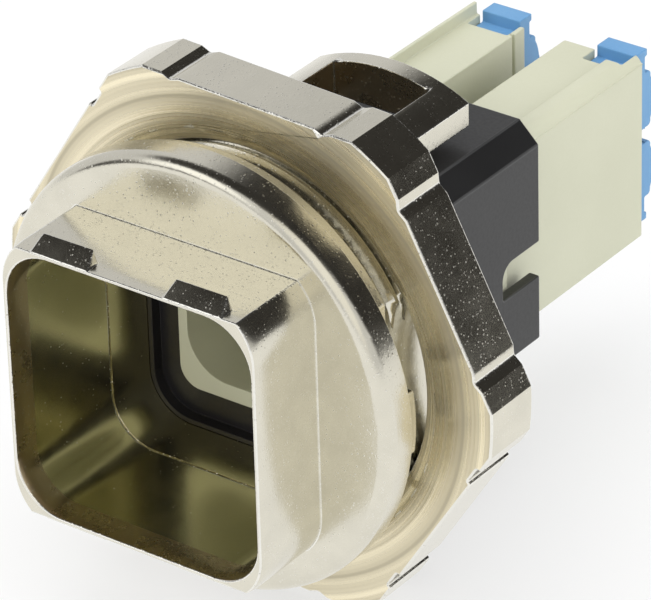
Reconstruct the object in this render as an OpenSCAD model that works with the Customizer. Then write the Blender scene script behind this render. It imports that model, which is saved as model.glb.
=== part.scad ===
// Panel-mounted power connector with a square push-pull mating shroud.
// Millimetres. The barrel's axis is Y, the mouth faces -Y, +Z is up.
// The origin is on the barrel's axis, in the plane where the collar seats on the panel.

/* [Mating shroud] */
// Outside width of the shroud, across its side walls
shroud_w = 24; // [23:0.25:26]
// Outside height of the shroud, over its flat top and bottom
shroud_h = 23.8; // [23:0.2:26]
// Height that the rounded side corners would reach without the flats
shroud_round_h = 26.4; // [26.1:0.1:28]
// Radius of the rounded side corners
shroud_corner_r = 4.8; // [3.5:0.1:6]
// Wall between the outside and the cavity
shroud_wall = 0.6; // [0.5:0.05:1]
// From the rim back to the flange
shroud_len = 7.55; // [6:0.25:12]
// Corner radius of the cavity
cavity_corner_r = 4; // [3:0.25:5]

/* [Locking lugs] */
// From the middle to the near end of a lug
lug_start = 3.9; // [2:0.1:4.5]
// Length of a lug along the rim
lug_w = 4.8; // [3:0.1:5.5]
// Length of the ramp, from the rim back
lug_len = 1.45; // [1:0.05:2.5]
// Height of the ramp's rear edge
lug_h = 1.05; // [0.5:0.05:1.5]
// Slant at each end of a lug
lug_bevel = 0.35; // [0.1:0.05:0.6]

/* [Flange and collar] */
// Radius of the flange
flange_r = 18.6; // [18.2:0.1:20]
// Thickness of the flange
flange_t = 3; // [2:0.25:5]
// Rounding of the flange's front edge
flange_round = 1.1; // [0.5:0.1:1.5]
// Radius of the collar that seats on the panel
collar_r = 18.05; // [17.4:0.05:18.15]
// Thickness of the collar
collar_t = 1.3; // [0.8:0.1:2.5]
// From the middle to each of the collar's flats
collar_flat = 15.4; // [15:0.1:16.5]
// Width of the key that stands on each flat
collar_key_w = 5.4; // [3:0.2:8]

/* [Barrel] */
// Major diameter of the thread
thread_d = 33; // [32:0.5:34]
// From the middle to each flat along the barrel
barrel_flat = 14.5; // [13.5:0.25:15]
// Length of the threaded barrel behind the panel seat
barrel_len = 11.5; // [10.5:0.25:13]
// Thickness of the ledge at the end of the barrel, which the carrier seats on
ledge_t = 3.5; // [2:0.25:4.5]
// Outside radius of the two arcs behind the barrel
arc_r = 15.6; // [15:0.1:15.6]
// Width of each arc
arc_w = 14.4; // [12:0.4:16]
// From the middle to the flat inside of each arc
arc_inside = 11.8; // [11.5:0.1:12.2]
// Length of the arcs behind the barrel
arc_len = 11.35; // [9:0.25:13]
// Width of the window in each arc
window_w = 9.2; // [8:0.2:10]
// Bridge behind the window
bridge_t = 1.7; // [1:0.1:3]

/* [Lock nut] */
// Width across the nut's flats
nut_flats = 42; // [40:0.5:46]
// Thickness of the nut
nut_t = 5.4; // [4:0.2:6]
// Radius that the nut's corners are turned to
nut_corner_r = 23.2; // [22.8:0.1:24]
// Gap between the panel seat and the nut, the panel's thickness
panel_t = 2.5; // [1:0.25:3]
// Outer radius of the conical dish in the nut's front face
dish_r = 18; // [17.2:0.1:19]
// Depth of the dish
dish_depth = 0.9; // [0.4:0.1:1.5]
// From the middle of a flat to the middle of each groove
groove_offset = 7.2; // [5:0.2:9]
// Width of a groove
groove_w = 1.7; // [1:0.1:2.5]
// Depth of a groove
groove_depth = 0.35; // [0.2:0.05:0.6]
// Angle at which the nut stands on the thread
nut_turn = -2.4; // [-30:0.1:30]

/* [Insert] */
// Height of the insert's bottom above the inside of the carrier
insert_lift = 0.15; // [0:0.05:0.3]
// Depth of the channel between the rib and the ridge, below the insert's full height
channel_drop = 0.9; // [0.6:0.1:1.2]
// Height of the thin rib on the left, above the channel
rib_h = 1.07; // [0.8:0.01:1.4]
// Thickness of the rib
rib_t = 0.35; // [0.3:0.05:0.8]
// Height of the rounded ridge on the right, above the channel
ridge_h = 0.75; // [0.5:0.05:1.2]
// Width of the ridge
ridge_w = 2.15; // [1.8:0.05:2.5]
// Rounding of the ridge's outer edge
ridge_round = 1.2; // [0.4:0.1:1.6]
// Wall between the left chambers and the slot
slot_wall = 0.47; // [0.4:0.01:0.8]
// Width of the slot between the towers
slot_w = 3; // [2:0.1:3.4]
// Rear end of the insert, behind the panel seat
insert_end = 45.8; // [44:0.5:50]
// Joint between the contact holder and the insert body
split_y = 22; // [21:0.5:24]
// Width of the collar at the bottom of the mouth
nose_w = 16.6; // [16:0.1:17]
// Height of the collar at the bottom of the mouth
nose_h = 15.5; // [15:0.1:16]
// Outside corner radius of the collar
nose_corner_r = 1.9; // [1:0.1:2.5]
// Width of the opening for the mating insert
opening_w = 14.8; // [14.2:0.1:15.2]
// Height of the opening for the mating insert
opening_h = 12.6; // [12:0.1:13.2]
// Corner radius of the opening
opening_corner_r = 3.8; // [2.5:0.1:4.5]
// Floor of the opening, where the pins come out
pin_floor_y = 17; // [15:0.5:19]

/* [Carrier and seals] */
// Width of the barrel's ledge beside the carrier
ledge_w = 1.1; // [0.9:0.05:1.3]
// Width of the barrel's ledge above and below the carrier
ledge_h = 0.7; // [0.6:0.05:0.9]
// Wall of the carrier
carrier_wall = 1; // [0.8:0.1:1.2]
// Chamfer along the carrier's edges
carrier_chamfer = 1.8; // [1.4:0.1:2]
// Gap between the insert and the inside of the carrier
carrier_room = 0.95; // [0.8:0.05:1]
// Rear end of the carrier, behind the panel seat
carrier_end = 27.9; // [26.5:0.25:30]
// Thickness of the carrier's front flange
carrier_flange_t = 1.2; // [0.8:0.1:1.6]
// Thickness of the flat gasket behind the flange
gasket_t = 0.5; // [0.4:0.1:1]
// Thickness of the seal's base
seal_t = 0.6; // [0.4:0.1:1]
// Height of the lip round the seal
seal_lip_h = 1; // [0.5:0.1:1.5]
// Thickness of the lip
seal_lip_t = 0.45; // [0.3:0.05:0.8]
// Height of the notch in each side wall
notch_h = 3.1; // [2:0.1:4]
// Length of the notch from the carrier's rear edge
notch_len = 5.1; // [3:0.1:5.4]
// Width of the snap tongues
tongue_w = 7.2; // [5:0.2:7.4]
// Length of the snap tongues
tongue_len = 9; // [7:0.25:10]
// Height that the tongue's nose stands above the carrier
tongue_nose_h = 1.8; // [1.4:0.1:1.9]

/* [Contacts] */
// From the middle to the pins, sideways
pin_x = 3.4; // [3.2:0.1:4]
// From the middle to the pins, up and down
pin_z = 2.8; // [2.6:0.1:3.2]
// Diameter of the pins
pin_d = 2; // [1.6:0.1:2.2]
// Length of the pins that stand in the opening
pin_len = 9; // [6:0.5:10.5]
// Wall of the insert outside the conductor entries' chambers
side_wall = 0.67; // [0.6:0.01:0.8]
// From the middle to the conductor entries, up and down
pole_z = 3.25; // [3.2:0.05:3.4]
// Thickness of the shoulder's step behind each pin
shoulder_step = 0.2; // [0.2:0.05:0.3]
// Thickness of the web between a pin and its post
crank_t = 1; // [0.8:0.1:1.2]
// Outside diameter of the slotted cage
cage_d = 2.4; // [2.2:0.1:2.4]
// Inside diameter of the cage
cage_bore_d = 1.6; // [1.2:0.1:1.7]
// Width of the slots in the cage
cage_slot_w = 0.35; // [0.2:0.05:0.5]

/* [Actuators] */
// Width of an actuator
actuator_w = 3.8; // [3.7:0.05:3.8]
// Near edge of an actuator, above the axis
actuator_low = 0.65; // [0.5:0.05:0.7]
// Far edge of an actuator's bar, above the axis
actuator_high = 7.95; // [7.8:0.05:8.1]
// How far the press face stands out behind the insert
actuator_out = 1.55; // [1.3:0.05:2]
// Height of the raised entry above the press face
entry_h = 0.85; // [0.5:0.05:1]
// Height of the crown above the raised entry
crown_h = 0.54; // [0.3:0.02:0.6]
// Length of an actuator inside its chamber
actuator_len = 6.8; // [6:0.1:8]
// Diameter of the conductor entry
entry_d = 2.9; // [2.6:0.1:3]
// Outside diameter of the clamp sleeve
sleeve_d = 3.3; // [3.2:0.1:3.4]
// Length of the clamp sleeve
sleeve_len = 5; // [4:0.25:5.5]
// Travel of an actuator from open to locked
press_travel = 1.5; // [1:0.1:1.5]

/* [Fits] */
// Gap round a moulding that sits in another
moulding_gap = 0.15; // [0.1:0.01:0.2]
// Gap round a sliding actuator
slide_gap = 0.08; // [0.05:0.01:0.1]
// Radial clearance of a turning or sliding round fit
running_gap = 0.05; // [0.02:0.01:0.08]

/* [Hidden] */
$fn = 96;
cut = 0.5;
flange_front = -(flange_t + collar_t);
rim_y = flange_front - shroud_len;
cavity_w = shroud_w - 2 * shroud_wall;
cavity_h = shroud_h - 2 * shroud_wall;
ledge_y = barrel_len - ledge_t;
arc_end = barrel_len + arc_len;
carrier_front = ledge_y - gasket_t - carrier_flange_t;
seal_front = carrier_front - seal_t - seal_lip_h;
carrier_w = cavity_w - 2 * ledge_w;
carrier_h = cavity_h - 2 * ledge_h;
inside_w = carrier_w - 2 * carrier_wall;
inside_h = carrier_h - 2 * carrier_wall;
inside_chamfer = carrier_chamfer - (2 - sqrt(2)) * carrier_wall;
front_wall_end = carrier_front + carrier_flange_t + 0.2;
insert_w = inside_w - 2 * carrier_room;
insert_low = inside_h / 2 - carrier_room - insert_lift;
channel_z = insert_low - channel_drop;
rib_z = channel_z + rib_h;
ridge_z = channel_z + ridge_h;
chamber_w = actuator_w + 2 * slide_gap;
pole_x = insert_w / 2 - side_wall - chamber_w / 2;
slot_left = pole_x - chamber_w / 2 - slot_wall;
chamber_low = actuator_low - slide_gap;
chamber_high = channel_z - 0.6;
body_high = chamber_high - slide_gap;
actuator_front = insert_end - actuator_len;
chamber_front = actuator_front - press_travel - 0.3;
press_face = insert_end + actuator_out;
bar_front = insert_end + 0.1;
cage_end = actuator_front + 1.5;
post_d = cage_d;
shank_d = pin_d + 2 * shoulder_step;
shoulder_y = pin_floor_y - 0.1;
// Side (-1 left, 1 right) and level (1 upper, -1 lower) of each pole
POLES = [[1, 1], [1, -1], [-1, 1], [-1, -1]];

// Extrudes an outline, drawn across and up, along Y
module along_y(from, to) {
    translate([0, to, 0]) rotate([90, 0, 0]) linear_extrude(to - from) children();
}

// Extrudes an outline, drawn along Y and up, across the part
module across(width) {
    rotate([90, 0, 90]) translate([0, 0, -width / 2]) linear_extrude(width) children();
}

// Turns an outline, drawn as radius and length, about the barrel's axis
module turned() {
    rotate([-90, 0, 0]) rotate_extrude() children();
}

module rounded_rectangle(w, h, r) {
    square([w - 2 * r, h], center = true);
    square([w, h - 2 * r], center = true);
    for (x = [-1, 1], y = [-1, 1]) translate([x * (w / 2 - r), y * (h / 2 - r)]) circle(r);
}

module chamfered_rectangle(w, h, c) {
    polygon([for (q = [[1, 1], [-1, 1], [-1, -1], [1, -1]], end = [0, 1])
        let (first = q[0] * q[1] > 0 ? end == 0 : end == 1)
        [q[0] * (first ? w / 2 : w / 2 - c), q[1] * (first ? h / 2 - c : h / 2)]]);
}

module shroud_outline() {
    intersection() {
        rounded_rectangle(shroud_w, shroud_round_h, shroud_corner_r);
        square([shroud_w + 2, shroud_h], center = true);
    }
}

module lug() {
    intersection() {
        translate([lug_start + lug_w / 2, 0, 0]) across(lug_w + 2 * lug_bevel)
            polygon([[rim_y, shroud_h / 2 - cut], [rim_y, shroud_h / 2],
                     [rim_y + lug_len, shroud_h / 2 + lug_h], [rim_y + lug_len, shroud_h / 2 - cut]]);
        along_y(rim_y, rim_y + lug_len)
            polygon([[lug_start - lug_bevel, shroud_h / 2 - cut], [lug_start - lug_bevel, shroud_h / 2],
                     [lug_start, shroud_h / 2 + lug_h], [lug_start + lug_w, shroud_h / 2 + lug_h],
                     [lug_start + lug_w + lug_bevel, shroud_h / 2],
                     [lug_start + lug_w + lug_bevel, shroud_h / 2 - cut]]);
    }
}

module lugs() {
    for (side = [0, 1], level = [0, 1]) mirror([side, 0, 0]) mirror([0, 0, level]) lug();
}

module flange() {
    turned() {
        translate([0, flange_front + flange_round]) square([flange_r, flange_t - flange_round]);
        translate([0, flange_front]) square([flange_r - flange_round, flange_round]);
        translate([flange_r - flange_round, flange_front + flange_round]) circle(flange_round);
    }
}

module collar() {
    along_y(-collar_t, 0) intersection() {
        circle(collar_r);
        union() {
            square([2 * collar_flat, 2 * collar_r], center = true);
            square([2 * collar_r, collar_key_w], center = true);
        }
    }
}

module threaded_barrel() {
    along_y(-cut, barrel_len) intersection() {
        circle(thread_d / 2);
        square([2 * barrel_flat, thread_d], center = true);
    }
}

module rear_arcs() {
    difference() {
        along_y(barrel_len - cut, arc_end) intersection() {
            circle(arc_r);
            square([arc_w, 2 * arc_r], center = true);
        }
        translate([0, arc_end / 2 + barrel_len / 2, 0])
            cube([arc_w + 2, arc_len, 2 * arc_inside], center = true);
        translate([0, barrel_len + (arc_len - bridge_t) / 2, 0])
            cube([window_w, arc_len - bridge_t, 2 * arc_r + 2], center = true);
    }
}

module carrier_outline(gap = 0) {
    chamfered_rectangle(carrier_w + 2 * gap, carrier_h + 2 * gap, carrier_chamfer);
}

module housing() {
    color([0.78, 0.76, 0.68]) difference() {
        union() {
            along_y(rim_y, flange_front + cut) shroud_outline();
            lugs();
            flange();
            collar();
            threaded_barrel();
            rear_arcs();
        }
        along_y(rim_y - cut, ledge_y) rounded_rectangle(cavity_w, cavity_h, cavity_corner_r);
        along_y(ledge_y - cut, barrel_len + cut) carrier_outline(moulding_gap);
    }
}

module nut_grooves() {
    for (flat = [0:5], side = [-1, 1])
        rotate([0, flat * 60, 0]) translate([side * groove_offset, panel_t + nut_t / 2, nut_flats / 2])
            cube([groove_w, nut_t + 2 * cut, 2 * groove_depth], center = true);
}

module lock_nut() {
    color([0.8, 0.79, 0.72]) rotate([0, -nut_turn, 0]) difference() {
        along_y(panel_t, panel_t + nut_t) intersection() {
            circle(nut_flats / sqrt(3), $fn = 6);
            circle(nut_corner_r);
        }
        turned() {
            square([thread_d / 2 + running_gap, panel_t + nut_t + cut]);
            polygon([[0, panel_t - cut], [dish_r + cut, panel_t - cut], [dish_r, panel_t],
                     [thread_d / 2 + running_gap, panel_t + dish_depth], [0, panel_t + dish_depth]]);
        }
        nut_grooves();
    }
}

module carrier_notch() {
    inner_r = 1.4;
    translate([carrier_w / 2 - carrier_wall / 2, 0, 0]) across(carrier_wall + 2 * cut) difference() {
        translate([carrier_end - notch_len, -notch_h]) square([notch_len + cut, notch_h]);
        translate([carrier_end - notch_len, -inner_r]) difference() {
            translate([-cut, 0]) square([inner_r + cut, inner_r + cut]);
            translate([inner_r, 0]) circle(inner_r);
            translate([inner_r, -cut]) square([cut, inner_r + 2 * cut]);
        }
    }
}

module snap_slot() {
    translate([inside_w / 2 + carrier_wall / 2, barrel_len + 3, 0])
        cube([carrier_wall + 2 * cut, 2.4, 4.4], center = true);
}

// The U-shaped cut that frees a tongue from the wall
module tongue_cut() {
    slit = 0.5;
    translate([0, 0, carrier_h / 2 - carrier_wall / 2]) difference() {
        translate([-tongue_w / 2 - slit, barrel_len - 0.35, -carrier_wall / 2 - cut])
            cube([tongue_w + 2 * slit, tongue_len + slit, carrier_wall + 2 * cut]);
        translate([-tongue_w / 2, barrel_len - 0.35 + slit, -carrier_wall])
            cube([tongue_w, tongue_len + 2 * cut, 2 * carrier_wall]);
    }
}

module tongue_nose() {
    catch_y = barrel_len + 0.15;
    across(tongue_w - 0.4)
        polygon([[catch_y, carrier_h / 2 - carrier_wall / 2], [catch_y, carrier_h / 2 + tongue_nose_h],
                 [catch_y + 0.6, carrier_h / 2 + tongue_nose_h], [catch_y + 4, carrier_h / 2],
                 [catch_y + 4, carrier_h / 2 - carrier_wall / 2]]);
}

module carrier() {
    color([0.13, 0.13, 0.14]) {
        difference() {
            union() {
                along_y(carrier_front, carrier_front + carrier_flange_t)
                    rounded_rectangle(cavity_w - 2 * moulding_gap, cavity_h - 2 * moulding_gap,
                                      cavity_corner_r - moulding_gap);
                along_y(carrier_front, carrier_end) carrier_outline();
            }
            along_y(carrier_front - cut, front_wall_end + cut)
                rounded_rectangle(nose_w + 2 * moulding_gap, nose_h + 2 * moulding_gap,
                                  nose_corner_r + moulding_gap);
            along_y(front_wall_end, carrier_end + cut)
                chamfered_rectangle(inside_w, inside_h, inside_chamfer);
            for (side = [0, 1]) mirror([side, 0, 0]) {
                carrier_notch();
                snap_slot();
            }
            for (level = [0, 1]) mirror([0, 0, level]) tongue_cut();
        }
        for (level = [0, 1]) mirror([0, 0, level]) tongue_nose();
    }
}

module carrier_gasket() {
    color([0.1, 0.1, 0.1]) along_y(ledge_y - gasket_t, ledge_y) difference() {
        rounded_rectangle(cavity_w - 2 * moulding_gap, cavity_h - 2 * moulding_gap,
                          cavity_corner_r - moulding_gap);
        carrier_outline(moulding_gap);
    }
}

module interface_seal() {
    seal_w = cavity_w - 2 * running_gap;
    seal_h = cavity_h - 2 * running_gap;
    seal_r = cavity_corner_r - running_gap;
    color([0.09, 0.09, 0.1]) difference() {
        along_y(seal_front, carrier_front) rounded_rectangle(seal_w, seal_h, seal_r);
        along_y(seal_front - cut, carrier_front - seal_t)
            rounded_rectangle(seal_w - 2 * seal_lip_t, seal_h - 2 * seal_lip_t, seal_r - seal_lip_t);
        along_y(seal_front, carrier_front + cut)
            rounded_rectangle(nose_w + 2 * running_gap, nose_h + 2 * running_gap,
                              nose_corner_r + running_gap);
    }
}

module holder_outline() {
    chamfered_rectangle(inside_w - 2 * moulding_gap, inside_h - 2 * moulding_gap, inside_chamfer);
}

// Small wedges on the holder's sides that click into the carrier's slots
module snap_wedge() {
    wedge_z = 3.8;
    translate([inside_w / 2 - moulding_gap, barrel_len + 3, 0]) rotate([0, 0, 90]) rotate([90, 0, 0])
        translate([0, 0, -cut]) linear_extrude(cut + 0.65) square([2, wedge_z], center = true);
}

module contact_holder() {
    holder_front = front_wall_end + 0.1;
    relief_y = front_wall_end + 2;
    relief_wall = 1.3;
    relief_side = 0.6;
    color([0.83, 0.84, 0.75]) difference() {
        union() {
            along_y(seal_front, holder_front + cut)
                rounded_rectangle(nose_w, nose_h, nose_corner_r);
            along_y(holder_front, split_y) holder_outline();
            for (side = [0, 1]) mirror([side, 0, 0]) snap_wedge();
        }
        along_y(seal_front - cut, pin_floor_y) rounded_rectangle(opening_w, opening_h, opening_corner_r);
        for (level = [0, 1]) mirror([0, 0, level])
            translate([-tongue_w / 2 - relief_side, relief_y, opening_h / 2 + relief_wall])
                cube([tongue_w + 2 * relief_side, split_y, inside_h]);
        for (pole = POLES) translate([pole[0] * pin_x, pin_floor_y - cut, pole[1] * pin_z])
            rotate([-90, 0, 0]) cylinder(split_y, d = shank_d + 2 * running_gap);
    }
}

// The outline of the insert's two towers, seen from the rear
module tower_outline() {
    edge_chamfer = 1;
    half = insert_w / 2;
    difference() {
        union() {
            translate([-half, -insert_low]) square([insert_w, insert_low + channel_z]);
            translate([-half, 0]) square([rib_t, rib_z]);
            translate([half - ridge_w, 0]) square([ridge_w - ridge_round, ridge_z]);
            translate([half - ridge_w, 0]) square([ridge_w, ridge_z - ridge_round]);
            translate([half - ridge_round, ridge_z - ridge_round]) circle(ridge_round);
        }
        translate([-slot_left, -insert_low - cut]) square([slot_w, 3 * insert_low]);
        polygon([[slot_w - slot_left, channel_z - edge_chamfer], [slot_w - slot_left, channel_z + cut],
                 [slot_w - slot_left + edge_chamfer + cut, channel_z + cut],
                 [slot_w - slot_left + edge_chamfer, channel_z]]);
    }
}

// The web between a pin and its post, seen from the rear
module crank_outline(gap) {
    reach = [pole_x - pin_x, pole_z - pin_z];
    eye_d = post_d + 0.6 + 2 * gap;
    web_w = eye_d - 0.4;
    translate([pin_x, pin_z]) circle(d = eye_d);
    translate([pole_x, pole_z]) circle(d = eye_d);
    translate([pin_x, pin_z]) rotate(atan2(reach[1], reach[0]))
        translate([0, -web_w / 2]) square([norm(reach), web_w]);
}

// What one pole takes out of the insert body, for the upper right pole
module pole_cut() {
    bar_room = press_travel + 0.3;
    along_y(split_y - cut, split_y + crank_t + running_gap) crank_outline(moulding_gap);
    translate([pole_x, split_y, pole_z]) rotate([-90, 0, 0])
        cylinder(insert_end - split_y, d = post_d + 2 * running_gap);
    translate([pole_x - chamber_w / 2, chamber_front, chamber_low])
        cube([chamber_w, insert_end, chamber_high - chamber_low]);
    translate([pole_x, 0, 0]) across(chamber_w)
        polygon([[bar_front - bar_room, chamber_high - cut], [bar_front - bar_room, chamber_high],
                 [bar_front - bar_room - 0.8, rib_z + cut], [insert_end + cut, rib_z + cut],
                 [insert_end + cut, chamber_high - cut]]);
}

module insert_body() {
    plate_t = 3;
    groove_y = insert_end - 1.8;
    color([0.83, 0.84, 0.75]) difference() {
        union() {
            along_y(split_y, split_y + plate_t) holder_outline();
            along_y(split_y + plate_t - cut, insert_end) tower_outline();
        }
        for (pole = POLES) mirror([pole[0] < 0 ? 1 : 0, 0, 0]) mirror([0, 0, pole[1] < 0 ? 1 : 0])
            pole_cut();
        translate([-slot_left - 0.25, groove_y, -insert_low - cut]) cube([0.5, 0.3, 3 * insert_low]);
    }
}

// A contact, for the upper right pole
module contact() {
    color([0.78, 0.72, 0.52]) {
        difference() {
            union() {
                translate([pin_x, pin_floor_y - pin_len, pin_z]) rotate([-90, 0, 0])
                    cylinder(pin_d / 2, d1 = pin_d / 2, d2 = pin_d);
                translate([pin_x, pin_floor_y - pin_len + pin_d / 2, pin_z]) rotate([-90, 0, 0])
                    cylinder(pin_len - pin_d / 2 + cut, d = pin_d);
                translate([pin_x, shoulder_y, pin_z]) rotate([-90, 0, 0])
                    cylinder(split_y - shoulder_y + crank_t / 2, d = shank_d);
                along_y(split_y, split_y + crank_t) crank_outline(0);
                translate([pole_x, split_y + crank_t / 2, pole_z]) rotate([-90, 0, 0])
                    cylinder(cage_end - split_y - crank_t / 2, d = cage_d);
            }
            translate([pole_x, chamber_front, pole_z]) rotate([-90, 0, 0])
                cylinder(insert_end, d = cage_bore_d);
            for (turn = [0, 90]) translate([pole_x, cage_end, pole_z]) rotate([0, turn + 45, 0])
                cube([cage_slot_w, 2 * (cage_end - chamber_front), 2 * cage_d], center = true);
        }
    }
}

// A clamp sleeve, for the upper right pole
module clamp_sleeve() {
    bore_r = cage_d / 2 + running_gap;
    color([0.7, 0.7, 0.7]) translate([pole_x, actuator_front, pole_z]) rotate([-90, 0, 0])
        rotate_extrude() polygon([[bore_r + 0.2, 0], [sleeve_d / 2, 0], [sleeve_d / 2, sleeve_len],
                                  [bore_r, sleeve_len], [bore_r, 0.6]]);
}

// The side view of an actuator behind the insert, as length and height
module head_outline() {
    entry_low = actuator_low + 0.05;
    entry_high = 2 * pole_z - entry_low;
    shoulder = press_face + entry_h;
    lip = 0.3;
    lip_h = 0.65;
    crown_half = 1.95;
    crown_r = (crown_half * crown_half + crown_h * crown_h) / (2 * crown_h);
    entry_round = 0.4;
    translate([insert_end - cut, actuator_low]) square([cut + actuator_out, body_high - actuator_low]);
    translate([bar_front, actuator_low]) square([press_face - bar_front, actuator_high - actuator_low]);
    translate([bar_front, actuator_high - lip_h]) square([press_face + lip - bar_front, lip_h]);
    translate([insert_end, entry_low]) square([press_face + entry_h - entry_round - insert_end,
                                               entry_high - entry_low]);
    translate([insert_end, entry_low + entry_round])
        square([shoulder - insert_end, entry_high - entry_low - 2 * entry_round]);
    for (z = [entry_low + entry_round, entry_high - entry_round])
        translate([shoulder - entry_round, z]) circle(entry_round);
    intersection() {
        translate([shoulder + crown_h - crown_r, pole_z]) circle(crown_r);
        translate([shoulder - cut, pole_z - crown_half]) square([cut + crown_h, 2 * crown_half]);
    }
}

// An actuator, for the upper right pole
module actuator() {
    funnel_d = entry_d + 0.9;
    funnel_y = press_face + entry_h - 0.4;
    color([0.36, 0.6, 0.85]) difference() {
        union() {
            translate([pole_x - actuator_w / 2, actuator_front, actuator_low])
                cube([actuator_w, actuator_len, body_high - actuator_low]);
            translate([pole_x, 0, 0]) across(actuator_w) head_outline();
        }
        translate([pole_x, actuator_front - cut, pole_z]) rotate([-90, 0, 0])
            cylinder(actuator_len + 2 * actuator_out + 2, d = entry_d);
        translate([pole_x, actuator_front - cut, pole_z]) rotate([-90, 0, 0])
            cylinder(sleeve_len + cut, d = sleeve_d);
        translate([pole_x, funnel_y, pole_z]) rotate([-90, 0, 0])
            cylinder(1.2, d1 = entry_d, d2 = funnel_d);
    }
}

// Places a pole's piece, drawn for the upper right pole
module at_pole(number) {
    pole = POLES[number - 1];
    mirror([pole[0] < 0 ? 1 : 0, 0, 0]) mirror([0, 0, pole[1] < 0 ? 1 : 0]) children();
}

housing();
lock_nut();
carrier();
carrier_gasket();
interface_seal();
contact_holder();
insert_body();
at_pole(1) contact();  // contact_1
at_pole(2) contact();  // contact_2
at_pole(3) contact();  // contact_3
at_pole(4) contact();  // contact_4
at_pole(1) clamp_sleeve();  // clamp_sleeve_1
at_pole(2) clamp_sleeve();  // clamp_sleeve_2
at_pole(3) clamp_sleeve();  // clamp_sleeve_3
at_pole(4) clamp_sleeve();  // clamp_sleeve_4
at_pole(1) actuator();  // actuator_1
at_pole(2) actuator();  // actuator_2
at_pole(3) actuator();  // actuator_3
at_pole(4) actuator();  // actuator_4
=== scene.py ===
"""Looks for the panel-mounted power connector with a square push-pull mating shroud."""

import math

import bmesh
import bpy
from mathutils import Matrix, Vector


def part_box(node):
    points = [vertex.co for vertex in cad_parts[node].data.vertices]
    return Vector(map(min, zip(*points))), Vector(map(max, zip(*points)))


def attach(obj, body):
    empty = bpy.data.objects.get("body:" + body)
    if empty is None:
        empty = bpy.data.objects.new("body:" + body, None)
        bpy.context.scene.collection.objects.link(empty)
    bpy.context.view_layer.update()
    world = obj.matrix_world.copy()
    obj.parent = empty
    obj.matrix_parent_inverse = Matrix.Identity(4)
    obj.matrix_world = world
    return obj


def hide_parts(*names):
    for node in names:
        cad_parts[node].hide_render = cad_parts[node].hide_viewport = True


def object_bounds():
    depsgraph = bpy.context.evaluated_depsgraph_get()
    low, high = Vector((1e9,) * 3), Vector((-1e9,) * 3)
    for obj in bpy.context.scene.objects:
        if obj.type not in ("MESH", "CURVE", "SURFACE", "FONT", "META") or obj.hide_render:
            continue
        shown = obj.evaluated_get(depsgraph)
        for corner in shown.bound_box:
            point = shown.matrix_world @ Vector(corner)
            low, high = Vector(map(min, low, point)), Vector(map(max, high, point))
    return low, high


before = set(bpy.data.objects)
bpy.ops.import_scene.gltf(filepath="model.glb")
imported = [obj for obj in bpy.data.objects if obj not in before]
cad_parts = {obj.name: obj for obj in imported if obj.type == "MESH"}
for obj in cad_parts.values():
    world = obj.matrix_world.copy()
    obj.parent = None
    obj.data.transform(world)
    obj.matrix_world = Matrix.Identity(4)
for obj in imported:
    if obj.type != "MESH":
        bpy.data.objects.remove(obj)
cad_low, cad_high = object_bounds()

MM = 0.001
MICRON = 0.000001

# Places on the CAD that the finish follows
PANEL_SEAT_Y = 0.0
BARREL_END_Y = 11.5 * MM
RIM_Y = -11.85 * MM
PARTING_Y = -0.15 * MM
CAVITY_END_Y = 8.0 * MM
CAVITY_HALF = (11.4 * MM, 11.3 * MM)
CAVITY_CORNER_R = 4.0 * MM
GROOVE_OFFSET = 7.2 * MM
GROOVE_DEPTH = 0.35 * MM

# Forms of the mouth that only the looks have
LEAD_IN = 2.3 * MM
LEAD_IN_FLARE = 0.2 * MM
RIM_TAPER = 1.0 * MM
RIM_DRAW = 0.1 * MM
PARTING_STEP = 0.035 * MM

# Thread, in the looks only
THREAD_PITCH = 1.5 * MM
THREAD_MAJOR_R = 16.5 * MM
THREAD_ROOT_R = 15.66 * MM
THREAD_ROOT_HALF = 0.09 * MM
THREAD_FLANK = math.radians(30.0)
THREAD_OVERCUT = 0.08 * MM
NUT_BORE_R = THREAD_MAJOR_R + 0.05 * MM

# Widths of the roundings
CASTING_ROUNDING = 0.12 * MM
NUT_ROUNDING = 0.17 * MM
CARRIER_ROUNDING = 0.15 * MM

# Colours of the nickel plate, as it looks on each kind of surface, painted highlight and painted
# reflection among them
NICKEL = (0.75, 0.72, 0.615)
# Painted highlight: the lighter colour given to the domes' glints and to the rounded edges
NICKEL_PAINTED_HIGHLIGHT = (0.88, 0.865, 0.80)
TURNED_COLOUR = (0.96, 0.87, 0.64)
# Painted reflection: a yellow-brown tint in the bore and in the matt hollows (the lead-in and the
# arcs' insides), for light mirrored between the nickel walls
BORE_PAINTED_REFLECTION = (0.73, 0.68, 0.42)
HOLLOW_PAINTED_REFLECTION = (0.72, 0.60, 0.41)


# ---------------------------------------------------------------- shader nodes

def put(tree, kind, inputs=None, **settings):
    """Adds a node, with values or sockets given by input name or number."""
    made = tree.nodes.new(kind)
    for name, value in settings.items():
        setattr(made, name, value)
    for key, value in (inputs or {}).items():
        if isinstance(value, bpy.types.NodeSocket):
            tree.links.new(value, made.inputs[key])
        else:
            made.inputs[key].default_value = value
    return made


def maths(tree, operation, first, second=0.0):
    return put(tree, "ShaderNodeMath", {0: first, 1: second}, operation=operation).outputs[0]


def remap(tree, value, low, high, to_low=0.0, to_high=1.0, curve="LINEAR"):
    made = put(tree, "ShaderNodeMapRange",
               {"Value": value, "From Min": low, "From Max": high,
                "To Min": to_low, "To Max": to_high}, interpolation_type=curve)
    return made.outputs["Result"]


def mix_colour(tree, factor, first, second):
    made = put(tree, "ShaderNodeMix", data_type="RGBA")
    for key, value in (("Factor_Float", factor), ("A_Color", first), ("B_Color", second)):
        socket = next(s for s in made.inputs if s.identifier == key)
        if isinstance(value, bpy.types.NodeSocket):
            tree.links.new(value, socket)
        else:
            socket.default_value = value
    return next(s for s in made.outputs if s.identifier == "Result_Color")


def noise(tree, vector, scale, detail):
    made = put(tree, "ShaderNodeTexNoise", {"Vector": vector, "Scale": scale, "Detail": detail})
    return made.outputs["Fac"]


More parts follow.
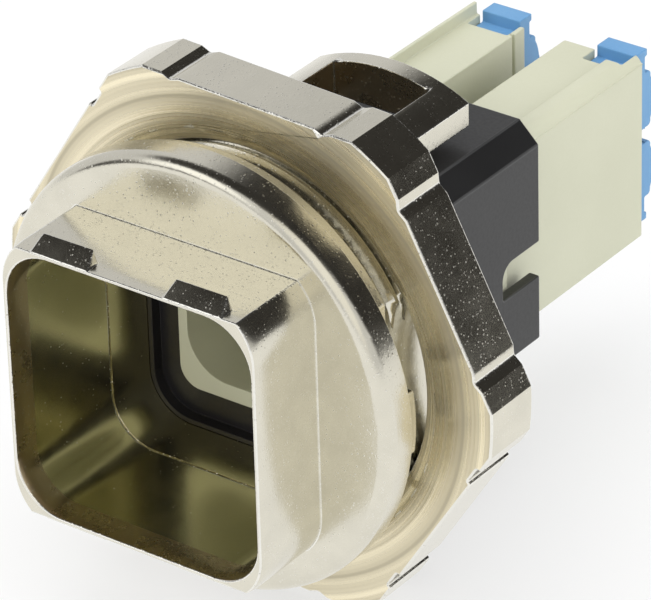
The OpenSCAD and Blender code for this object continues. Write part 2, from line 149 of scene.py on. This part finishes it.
def line_noise(tree, along):
    """Noise that varies along one measure only."""
    made = put(tree, "ShaderNodeTexNoise", {"W": along, "Scale": 1.0, "Detail": 2.0},
               noise_dimensions="1D")
    return made.outputs["Fac"]


def object_place(tree):
    return put(tree, "ShaderNodeTexCoord").outputs["Object"]


def solid(colour):
    return (*colour, 1.0)


def toned(colour, factor):
    return solid(factor * c for c in colour)


def new_group(name, inputs, outputs):
    """A shader group with float inputs (name: default) and named outputs."""
    tree = bpy.data.node_groups.new(name, "ShaderNodeTree")
    for label, default in inputs.items():
        socket = tree.interface.new_socket(label, in_out="INPUT", socket_type="NodeSocketFloat")
        socket.default_value = default
    for label in outputs:
        tree.interface.new_socket(label, in_out="OUTPUT", socket_type="NodeSocketFloat")
    return tree, tree.nodes.new("NodeGroupInput"), tree.nodes.new("NodeGroupOutput")


def use(tree, group, **inputs):
    made = put(tree, "ShaderNodeGroup", node_tree=group)
    for name, value in inputs.items():
        made.inputs[name].default_value = value
    return made.outputs


def make_cast_skin():
    """Skin of a plated casting: orange peel, fine grain and small domes that catch the light.
    Domes is the share of cells that carry one."""
    peel_scale, grain_scale, patch_scale, dome_scale = 2600.0, 7500.0, 420.0, 4200.0
    peel_share, grain_share = 0.4, 0.12
    smallest, largest, crowding, rarity = 0.25, 0.55, 0.2, 1.6
    tree, given, out = new_group("cast_skin", {"Domes": 0.6}, ["Height", "Dome", "Patch"])
    place = object_place(tree)
    peel = noise(tree, place, peel_scale, 1.0)
    grain = noise(tree, place, grain_scale, 0.0)
    patch = noise(tree, place, patch_scale, 3.0)
    cells = put(tree, "ShaderNodeTexVoronoi",
                {"Vector": place, "Scale": dome_scale, "Randomness": 1.0})
    chance = put(tree, "ShaderNodeSeparateColor", {0: cells.outputs["Color"]})
    size = remap(tree, chance.outputs["Green"], 0.0, 1.0, smallest, largest)
    depth = maths(tree, "DIVIDE", maths(tree, "SUBTRACT", size, cells.outputs["Distance"]), size)
    dome = remap(tree, depth, 0.0, 1.0, curve="SMOOTHSTEP")
    crowd = maths(tree, "ADD", chance.outputs["Red"],
                  remap(tree, patch, 0.3, 0.7, -crowding, crowding))
    chosen = maths(tree, "LESS_THAN", crowd, given.outputs["Domes"])
    strength = maths(tree, "POWER", chance.outputs["Blue"], rarity)
    dome = maths(tree, "MULTIPLY", maths(tree, "MULTIPLY", dome, chosen), strength)
    tree.links.new(dome, out.inputs["Dome"])
    skin = maths(tree, "ADD", maths(tree, "MULTIPLY", peel, peel_share),
                 maths(tree, "MULTIPLY", grain, grain_share))
    tree.links.new(maths(tree, "ADD", skin, dome), out.inputs["Height"])
    tree.links.new(remap(tree, patch, 0.35, 0.65), out.inputs["Patch"])
    return tree


def make_turning_marks():
    """Rings left by a lathe tool, centred on the barrel's axis."""
    fine_rings_per_metre, broad_rings_per_metre = 4200.0, 1100.0
    tree, _, out = new_group("turning_marks", {}, ["Height", "Tone"])
    place = put(tree, "ShaderNodeSeparateXYZ", {0: object_place(tree)})
    across = maths(tree, "MULTIPLY", place.outputs["X"], place.outputs["X"])
    up = maths(tree, "MULTIPLY", place.outputs["Z"], place.outputs["Z"])
    radius = maths(tree, "SQRT", maths(tree, "ADD", across, up))
    fine = line_noise(tree, maths(tree, "MULTIPLY", radius, fine_rings_per_metre))
    broad = line_noise(tree, maths(tree, "MULTIPLY", radius, broad_rings_per_metre))
    tree.links.new(fine, out.inputs["Height"])
    tree.links.new(remap(tree, broad, 0.3, 0.7), out.inputs["Tone"])
    return tree


def make_moulded_skin():
    """Fine spark texture of a moulding, with slow flow marks."""
    spark_scale, flow_scale = 3500.0, 90.0
    tree, _, out = new_group("moulded_skin", {}, ["Height", "Flow"])
    place = object_place(tree)
    tree.links.new(noise(tree, place, spark_scale, 2.0), out.inputs["Height"])
    flow = noise(tree, place, flow_scale, 2.0)
    tree.links.new(remap(tree, flow, 0.3, 0.7), out.inputs["Flow"])
    return tree


CAST_SKIN = make_cast_skin()
TURNING_MARKS = make_turning_marks()
MOULDED_SKIN = make_moulded_skin()


# ---------------------------------------------------------------- materials

def new_material(name, metallic=0.0):
    """A material with its Principled node, ready for links."""
    material = bpy.data.materials.new(name)
    material.use_nodes = True
    tree = material.node_tree
    shader = tree.nodes["Principled BSDF"]
    shader.inputs["Metallic"].default_value = metallic
    return material, tree, shader


def finish_surface(tree, shader, colour, roughness, height, relief):
    """Links the colour and the roughness, and raises the height pattern by relief, in metres."""
    tree.links.new(colour, shader.inputs["Base Color"])
    tree.links.new(roughness, shader.inputs["Roughness"])
    made = put(tree, "ShaderNodeBump", {"Height": height, "Distance": relief, "Strength": 1.0})
    tree.links.new(made.outputs["Normal"], shader.inputs["Normal"])


def cast_nickel(name, colour, domes, smooth, relief):
    """Nickel over a casting: it mirrors, and its small domes sparkle where the rest is dark, from
    their bumps and from a painted highlight that lifts their colour.
    """
    material, tree, shader = new_material(name, metallic=1.0)
    skin = use(tree, CAST_SKIN, Domes=domes)
    body = mix_colour(tree, skin["Patch"], toned(colour, 0.94), solid(colour))
    # Painted glint: the domes' colour is lifted towards the painted highlight colour
    lit = maths(tree, "MULTIPLY", skin["Dome"], 0.8)
    tint = mix_colour(tree, lit, body, solid(NICKEL_PAINTED_HIGHLIGHT))
    rough = maths(tree, "ADD", remap(tree, skin["Patch"], 0.0, 1.0, smooth, smooth + 0.04),
                  maths(tree, "MULTIPLY", skin["Dome"], 0.22))
    finish_surface(tree, shader, tint, rough, skin["Height"], relief)
    return material


def turned_nickel():
    """Nickel over a face cut on a lathe: the light spreads across the rings."""
    material, tree, shader = new_material("turned_nickel", metallic=1.0)
    shader.inputs["Anisotropic"].default_value = 0.9
    shader.inputs["Anisotropic Rotation"].default_value = 0.25
    tangent = put(tree, "ShaderNodeTangent", direction_type="RADIAL", axis="Y")
    tree.links.new(tangent.outputs[0], shader.inputs["Tangent"])
    rings = use(tree, TURNING_MARKS)
    tint = mix_colour(tree, rings["Tone"], toned(TURNED_COLOUR, 0.62), solid(TURNED_COLOUR))
    rough = remap(tree, rings["Tone"], 0.0, 1.0, 0.36, 0.20)
    finish_surface(tree, shader, tint, rough, rings["Height"], 14 * MICRON)
    return material


def moulding(name, low, high, roughness, relief):
    """Moulded plastic or rubber: two tones of its colour and a fine texture."""
    material, tree, shader = new_material(name)
    shader.inputs["IOR"].default_value = 1.5
    skin = use(tree, MOULDED_SKIN)
    tint = mix_colour(tree, skin["Flow"], solid(low), solid(high))
    rough = remap(tree, skin["Height"], 0.3, 0.7, roughness - 0.06, roughness + 0.08)
    finish_surface(tree, shader, tint, rough, skin["Height"], relief)
    return material


def drawn_metal(name, colour, roughness):
    """Drawn metal: fine lines along the pin."""
    across_scale, along_scale = 9000.0, 500.0
    material, tree, shader = new_material(name, metallic=1.0)
    place = put(tree, "ShaderNodeMapping", {"Vector": object_place(tree),
                                            "Scale": (across_scale, along_scale, across_scale)})
    lines = noise(tree, place.outputs["Vector"], 1.0, 2.0)
    tint = mix_colour(tree, lines, toned(colour, 0.8), solid(colour))
    rough = remap(tree, lines, 0.3, 0.7, roughness - 0.05, roughness + 0.08)
    finish_surface(tree, shader, tint, rough, lines, 4 * MICRON)
    return material


CAST_NICKEL = cast_nickel("cast_nickel", NICKEL, 0.85, 0.18, 12 * MICRON)
# Painted reflection: the bore and the matt hollows take the yellow-brown colours
BORE_NICKEL = cast_nickel("bore_nickel", BORE_PAINTED_REFLECTION, 0.05, 0.20, 4 * MICRON)
LEAD_NICKEL = cast_nickel("lead_nickel", HOLLOW_PAINTED_REFLECTION, 0.70, 0.26, 26 * MICRON)
# Painted highlight: the roundings of the housing and the nut take the light nickel colour
EDGE_NICKEL_PAINTED_HIGHLIGHT = cast_nickel("edge_nickel_painted_highlight", NICKEL_PAINTED_HIGHLIGHT, 0.95, 0.18, 45 * MICRON)
TURNED_NICKEL = turned_nickel()
BLACK_PLASTIC = moulding("black_plastic", (0.012, 0.012, 0.0125), (0.018, 0.018, 0.0185),
                         0.34, 3 * MICRON)
# Painted highlight: the carrier's roundings take a lighter black
BLACK_PAINTED_EDGE_HIGHLIGHT = moulding("black_plastic_painted_edge_highlight", (0.035, 0.035, 0.036), (0.055, 0.055, 0.056),
                      0.34, 3 * MICRON)
SEAL_RUBBER = moulding("seal_rubber", (0.008, 0.008, 0.009), (0.014, 0.013, 0.016),
                       0.42, 5 * MICRON)
BEIGE_PLASTIC = moulding("beige_plastic", (0.56, 0.565, 0.43), (0.60, 0.605, 0.465),
                         0.46, 5 * MICRON)
BLUE_PLASTIC = moulding("blue_plastic", (0.12, 0.30, 0.56), (0.16, 0.36, 0.61),
                        0.42, 5 * MICRON)
CONTACT_METAL = drawn_metal("silver_plate", (0.78, 0.74, 0.64), 0.24)
SLEEVE_STEEL = drawn_metal("sleeve_steel", (0.60, 0.60, 0.60), 0.30)


# ---------------------------------------------------------------- geometry

MERGE_DISTANCE = 0.2 * MICRON
CUT_DISTANCE = 0.1 * MICRON


def link_new(name, data):
    made = bpy.data.objects.new(name, data)
    bpy.context.scene.collection.objects.link(made)
    return made


def merged_copy(node, piece, *materials):
    """A free copy of a CAD node's mesh, with its points joined and flat areas made one face."""
    work = bmesh.new()
    work.from_mesh(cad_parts[node].data)
    bmesh.ops.remove_doubles(work, verts=work.verts, dist=MERGE_DISTANCE)
    bmesh.ops.dissolve_limit(work, angle_limit=math.radians(0.5), verts=work.verts,
                             edges=work.edges)
    mesh = bpy.data.meshes.new(piece)
    work.to_mesh(mesh)
    work.free()
    for material in materials:
        mesh.materials.append(material)
    return link_new(piece, mesh)


def settle(made):
    """Turns an object with modifiers into a plain mesh."""
    graph = bpy.context.evaluated_depsgraph_get()
    mesh = bpy.data.meshes.new_from_object(made.evaluated_get(graph))
    made.modifiers.clear()
    made.data = mesh
    mesh.name = made.name
    return made


def round_edges(made, width, segments=2, edge_material=-1):
    """Rounds the sharp edges. The roundings may take a material of their own."""
    bevel = made.modifiers.new("rounding", "BEVEL")
    bevel.material = edge_material
    bevel.width = width
    bevel.segments = segments
    bevel.limit_method = "ANGLE"
    bevel.angle_limit = math.radians(32.0)
    bevel.use_clamp_overlap = False
    bevel.miter_outer = "MITER_ARC"
    return settle(made)


def shade(made, angle=30.0):
    """Smooth shading with sharp edges kept, and large faces leading the normals."""
    made.data.shade_smooth()
    made.data.set_sharp_from_angle(angle=math.radians(angle))
    lead = made.modifiers.new("normals", "WEIGHTED_NORMAL")
    lead.keep_sharp = True
    return settle(made)


def finish_piece(made, body, node):
    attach(made, body)
    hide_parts(node)


def helix_cutter(name, start_y, end_y, inner_r, outer_r, inner_half, outer_half):
    """A closed band that winds about the barrel's axis, to cut a thread with."""
    steps_per_turn = 90
    profile = [(inner_r, -inner_half), (inner_r, inner_half),
               (outer_r, outer_half), (outer_r, -outer_half)]
    sides = len(profile)
    work = bmesh.new()
    rings = []
    for step in range(int((end_y - start_y) / THREAD_PITCH * steps_per_turn) + 1):
        turn = -math.tau * step / steps_per_turn
        advance = start_y + THREAD_PITCH * step / steps_per_turn
        rings.append([work.verts.new((r * math.sin(turn), advance + y, r * math.cos(turn)))
                      for r, y in profile])
    for near, far in zip(rings, rings[1:]):
        for i in range(sides):
            after = (i + 1) % sides
            work.faces.new((near[i], near[after], far[after], far[i]))
    work.faces.new(rings[0][::-1])
    work.faces.new(rings[-1])
    bmesh.ops.recalc_face_normals(work, faces=work.faces)
    mesh = bpy.data.meshes.new(name)
    work.to_mesh(mesh)
    work.free()
    return link_new(name, mesh)


def cut_away(made, tool):
    """Takes one closed mesh out of another."""
    cut = made.modifiers.new("cut", "BOOLEAN")
    cut.operation = "DIFFERENCE"
    cut.solver = "EXACT"
    cut.object = tool
    settle(made)
    mesh = tool.data
    bpy.data.objects.remove(tool)
    bpy.data.meshes.remove(mesh)


def mouth_offset(place):
    """How far a point lies outside the cavity's outline, and which way is out."""
    reach_x = abs(place.x) - (CAVITY_HALF[0] - CAVITY_CORNER_R)
    reach_z = abs(place.z) - (CAVITY_HALF[1] - CAVITY_CORNER_R)
    if reach_x > 0 and reach_z > 0:
        away = Vector((reach_x, 0.0, reach_z))
        distance = away.length - CAVITY_CORNER_R
    elif reach_x > reach_z:
        away, distance = Vector((1.0, 0.0, 0.0)), reach_x - CAVITY_CORNER_R
    else:
        away, distance = Vector((0.0, 0.0, 1.0)), reach_z - CAVITY_CORNER_R
    away.normalize()
    out = Vector((math.copysign(away.x, place.x), 0.0, math.copysign(away.z, place.z)))
    return distance, out


def shape_mouth(made):
    """Flares the mouth's lead-in, tapers the rim outside and steps the wall at the parting line."""
    touch = 0.05 * MM
    outside_reach = 2.0 * MM
    work = bmesh.new()
    work.from_mesh(made.data)
    for level in (RIM_Y + LEAD_IN, RIM_Y + RIM_TAPER, PARTING_Y, PARTING_Y + PARTING_STEP):
        bmesh.ops.bisect_plane(work, geom=work.verts[:] + work.edges[:] + work.faces[:],
                               plane_co=(0.0, level, 0.0), plane_no=(0.0, 1.0, 0.0),
                               dist=CUT_DISTANCE)
    for vert in work.verts:
        distance, away = mouth_offset(vert.co)
        on_cavity = abs(distance) < touch
        if vert.co.y < RIM_Y + touch:
            if on_cavity:
                vert.co += LEAD_IN_FLARE * away
            elif distance < outside_reach:
                vert.co -= RIM_DRAW * away
        elif on_cavity and PARTING_Y + touch / 2 < vert.co.y < CAVITY_END_Y + touch:
            vert.co -= PARTING_STEP * away
    work.to_mesh(made.data)
    work.free()
    return made


def paint_housing(made):
    """The cavity's walls mirror, its lead-in and the arcs' insides are matt, the rest is a speckled
    casting.
    The walls, the lead-in and the arcs' insides carry a painted reflection in their yellow-brown
    colour.
    Roundings keep the material they have, with its painted highlight."""
    cast, bore, lead_in = 0, 1, 2
    for face in made.data.polygons:
        if face.material_index != cast:
            continue
        distance, away = mouth_offset(face.center)
        in_cavity = distance < 0.25 * MM and face.center.y < CAVITY_END_Y
        faces_inwards = face.normal.y < -0.5 or face.normal.dot(face.center) < 0
        if in_cavity and face.normal.dot(away) < -0.6:
            face.material_index = lead_in if face.center.y < RIM_Y + LEAD_IN else bore
        elif face.center.y > BARREL_END_Y and faces_inwards:
            face.material_index = lead_in


def paint_nut(made):
    """The two ends and the dish are turned, the flats keep their cast skin."""
    turned, cast = 0, 1
    for face in made.data.polygons:
        if face.material_index == turned and abs(face.normal.y) < 0.5:
            face.material_index = cast


def find_flats(made):
    """The way out and the distance from the axis, for each of the nut's six flats."""
    reach = max(math.hypot(v.co.x, v.co.z) for v in made.data.vertices)
    flats = {}
    for face in made.data.polygons:
        if abs(face.normal.y) < 0.01 and face.normal.dot(face.center) > 0.88 * reach:
            outward = Vector((face.normal.x, 0.0, face.normal.z)).normalized()
            sixth = round(math.degrees(math.atan2(outward.z, outward.x)) / 60.0 + 0.04) % 6
            if face.area > flats.get(sixth, (0.0, None))[0]:
                flats[sixth] = (face.area, outward, face.normal.dot(face.center))
    return [(outward, apothem) for _, outward, apothem in flats.values()]


def narrow_grooves(made):
    """Draws the bottom of each groove together, so that its two walls slope."""
    depth_slack, reach = 0.03 * MM, 1.2 * MM
    flats = find_flats(made)
    work = bmesh.new()
    work.from_mesh(made.data)
    for outward, apothem in flats:
        along = Vector((-outward.z, 0.0, outward.x))
        for vert in work.verts:
            sunk = apothem - vert.co.dot(outward)
            place = vert.co.dot(along)
            at_bottom = abs(sunk - GROOVE_DEPTH) < depth_slack
            if at_bottom and abs(abs(place) - GROOVE_OFFSET) < reach:
                vert.co += along * (math.copysign(GROOVE_OFFSET, place) - place)
    bmesh.ops.remove_doubles(work, verts=work.verts, dist=MERGE_DISTANCE)
    work.to_mesh(made.data)
    work.free()
    return made


def make_housing():
    made = merged_copy("housing", "plated_housing",
                       CAST_NICKEL, BORE_NICKEL, LEAD_NICKEL, EDGE_NICKEL_PAINTED_HIGHLIGHT)
    made = round_edges(shape_mouth(made), CASTING_ROUNDING, edge_material=3)
    crest_r = THREAD_MAJOR_R + THREAD_OVERCUT
    crest_half = THREAD_ROOT_HALF + (crest_r - THREAD_ROOT_R) * math.tan(THREAD_FLANK)
    cut_away(made, helix_cutter("thread_cutter", PANEL_SEAT_Y + 0.8 * MM, BARREL_END_Y + 1.0 * MM,
                                THREAD_ROOT_R, crest_r, THREAD_ROOT_HALF, crest_half))
    shade(made)
    paint_housing(made)
    finish_piece(made, "connector", "housing")


def make_nut():
    made = merged_copy("lock_nut", "turned_lock_nut", TURNED_NICKEL, CAST_NICKEL, EDGE_NICKEL_PAINTED_HIGHLIGHT)
    made = round_edges(narrow_grooves(made), NUT_ROUNDING, segments=3, edge_material=2)
    low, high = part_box("lock_nut")
    cut_away(made, helix_cutter("nut_thread_cutter", low[1] + 1.7 * MM, high[1] - 0.7 * MM,
                                NUT_BORE_R - 0.1 * MM, NUT_BORE_R + 0.45 * MM,
                                0.5 * MM, 0.1 * MM))
    shade(made, angle=15.0)
    paint_nut(made)
    finish_piece(made, "nut", "lock_nut")


def make_carrier():
    made = merged_copy("carrier", "carrier_moulding", BLACK_PLASTIC, BLACK_PAINTED_EDGE_HIGHLIGHT)
    made = shade(round_edges(made, CARRIER_ROUNDING, edge_material=1))
    finish_piece(made, "connector", "carrier")


make_housing()
make_nut()
make_carrier()

# Node, name, rounding in mm, material, slot and body of each plain moulding
MOULDINGS = [
    ("interface_seal", "lipped_seal", 0.08, SEAL_RUBBER, "seal_rubber", "connector"),
    ("contact_holder", "holder_moulding", 0.1, BEIGE_PLASTIC, "beige_plastic", "connector"),
    ("insert_body", "insert_moulding", 0.12, BEIGE_PLASTIC, "beige_plastic", "connector"),
]
POLES = range(1, 5)
MOULDINGS += [(f"actuator_{n}", f"press_actuator_{n}", 0.1, BLUE_PLASTIC, "blue_plastic",
               f"press_{n}") for n in POLES]
for node, name, width, material, slot, body in MOULDINGS:
    made = round_edges(merged_copy(node, name, material), width * MM)
    finish_piece(shade(made), body, node)

CAD_FINISHES = {"carrier_gasket": SEAL_RUBBER}
for n in POLES:
    CAD_FINISHES[f"contact_{n}"] = CONTACT_METAL
    CAD_FINISHES[f"clamp_sleeve_{n}"] = SLEEVE_STEEL
for node, finish in CAD_FINISHES.items():
    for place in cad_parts[node].material_slots:
        place.material = finish


# ---------------------------------------------------------------- studio

CENTRE = (0.0, 0.015, 0.0)
FLOOR_SIZE = 6.0
FLOOR_GAP = 0.2 * MM
FLOOR_WHITE = (0.86, 0.86, 0.86)
FLOOR_GLOW_SEEN = 0.6
FLOOR_GLOW_MIRRORED = 0.85

WHITE = (1.0, 1.0, 1.0)
ROOM_LIGHT = (0.68, 0.68, 0.68)
PALE_WALLS = (0.72, 0.72, 0.73)
DARK_CEILING = (0.03, 0.028, 0.026)
# Directions, with the cosines where each patch of the room starts and is full
DARK_ZONES = [((-0.38, -0.22, 0.90), 0.86, 0.93), ((0.15, 0.0, 0.99), 0.70, 0.84),
              ((0.40, 0.70, 0.59), 0.58, 0.82), ((-0.72, -0.69, 0.02), 0.91, 0.97)]
BRIGHT_ZONES = [((0.50, -0.68, 0.53), 0.84, 0.94, (1.05, 1.03, 0.98)),
                ((-0.50, -0.76, 0.42), 0.935, 0.975, (1.4, 1.4, 1.4))]

# Name, place, side and power of each lamp
SOFTBOXES = [("overhead", (-0.05, -0.05, 0.60), 0.5, 1.7),
             ("left_panel", (-0.42, -0.50, 0.36), 0.35, 1.5),
             ("right_panel", (0.60, 0.10, 0.20), 0.5, 1.4),
             ("front_panel", (0.15, -0.62, 0.20), 0.4, 0.9)]

CAMERA_PLACE = (0.219, -0.2779, 0.2094)
CAMERA_TURN = (36.91, 30.15, -1.69)
CAMERA_LENS = 295.3
CAMERA_SHIFT = (-0.0079, 0.00995)


def make_floor(level):
    """A white floor that keeps the object's shadow."""
    bpy.ops.mesh.primitive_plane_add(size=FLOOR_SIZE, location=(0.0, 0.0, level))
    floor = bpy.context.active_object
    floor.name = "floor"
    material = bpy.data.materials.new("pale_floor")
    material.use_nodes = True
    tree = material.node_tree
    tree.nodes.clear()
    path = put(tree, "ShaderNodeLightPath").outputs
    seen = maths(tree, "MAXIMUM", path["Is Camera Ray"], path["Is Transmission Ray"])
    share = maths(tree, "MAXIMUM", maths(tree, "MULTIPLY", seen, FLOOR_GLOW_SEEN),
                  maths(tree, "MULTIPLY", path["Is Glossy Ray"], FLOOR_GLOW_MIRRORED))
    paper = put(tree, "ShaderNodeBsdfDiffuse", {"Color": solid(FLOOR_WHITE)})
    glow = put(tree, "ShaderNodeEmission", {"Color": solid(WHITE), "Strength": 1.0})
    both = put(tree, "ShaderNodeMixShader", {0: share, 1: paper.outputs[0], 2: glow.outputs[0]})
    put(tree, "ShaderNodeOutputMaterial", {"Surface": both.outputs[0]})
    floor.data.materials.append(material)


def facing(tree, direction, towards, start, full):
    """A soft patch of the surroundings, around one direction."""
    dot = put(tree, "ShaderNodeVectorMath", {0: direction, 1: Vector(towards).normalized()},
              operation="DOT_PRODUCT").outputs["Value"]
    return remap(tree, dot, start, full, curve="SMOOTHSTEP")


def make_world():
    """White to the camera and a soft grey to the object. Polished metal also mirrors the pale walls,
    the dark zones of the ceiling and the room, a bright doorway and a bright window."""
    world = bpy.data.worlds.new("studio")
    bpy.context.scene.world = world
    world.use_nodes = True
    tree = world.node_tree
    tree.nodes.clear()
    path = put(tree, "ShaderNodeLightPath").outputs
    direction = put(tree, "ShaderNodeTexCoord").outputs["Generated"]
    dark = 0.0
    for towards, start, full in DARK_ZONES:
        dark = maths(tree, "MAXIMUM", dark, facing(tree, direction, towards, start, full))
    mirrored = mix_colour(tree, dark, solid(PALE_WALLS), solid(DARK_CEILING))
    for towards, start, full, light in BRIGHT_ZONES:
        bright = facing(tree, direction, towards, start, full)
        mirrored = mix_colour(tree, bright, mirrored, solid(light))
    lit = mix_colour(tree, path["Is Glossy Ray"], solid(ROOM_LIGHT), mirrored)
    seen = maths(tree, "MAXIMUM", path["Is Camera Ray"], path["Is Transmission Ray"])
    air = put(tree, "ShaderNodeBackground",
              {"Color": mix_colour(tree, seen, lit, solid(WHITE)), "Strength": 1.0})
    put(tree, "ShaderNodeOutputWorld", {"Surface": air.outputs[0]})


def add_softbox(name, place, side, power):
    """A square lamp that lights the object and is not mirrored in it."""
    light = bpy.data.lights.new(name, "AREA")
    light.shape = "RECTANGLE"
    light.size = light.size_y = side
    light.energy = power
    made = link_new(name, light)
    made.location = place
    aim = Vector(CENTRE) - Vector(place)
    made.rotation_euler = aim.to_track_quat("-Z", "Y").to_euler()
    made.visible_glossy = False


def make_camera():
    azimuth, elevation, roll = map(math.radians, CAMERA_TURN)
    right = Vector((math.cos(azimuth), math.sin(azimuth), 0.0))
    forward = Vector((-math.sin(azimuth) * math.cos(elevation),
                      math.cos(azimuth) * math.cos(elevation), -math.sin(elevation)))
    up = right.cross(forward)
    turned_right = math.cos(roll) * right + math.sin(roll) * up
    turned_up = -math.sin(roll) * right + math.cos(roll) * up
    data = bpy.data.cameras.new("camera")
    data.sensor_width = 36.0
    data.lens = CAMERA_LENS
    data.shift_x, data.shift_y = CAMERA_SHIFT
    data.clip_start, data.clip_end = 0.01, 20.0
    made = link_new("camera", data)
    turn = Matrix((turned_right, turned_up, -forward)).transposed()
    made.matrix_world = Matrix.Translation(CAMERA_PLACE) @ turn.to_4x4()
    bpy.context.scene.camera = made


make_camera()
make_world()
make_floor(cad_low[2] - FLOOR_GAP)
for name, place, side, power in SOFTBOXES:
    add_softbox(name, place, side, power)

bpy.context.scene.view_settings.view_transform = "Standard"
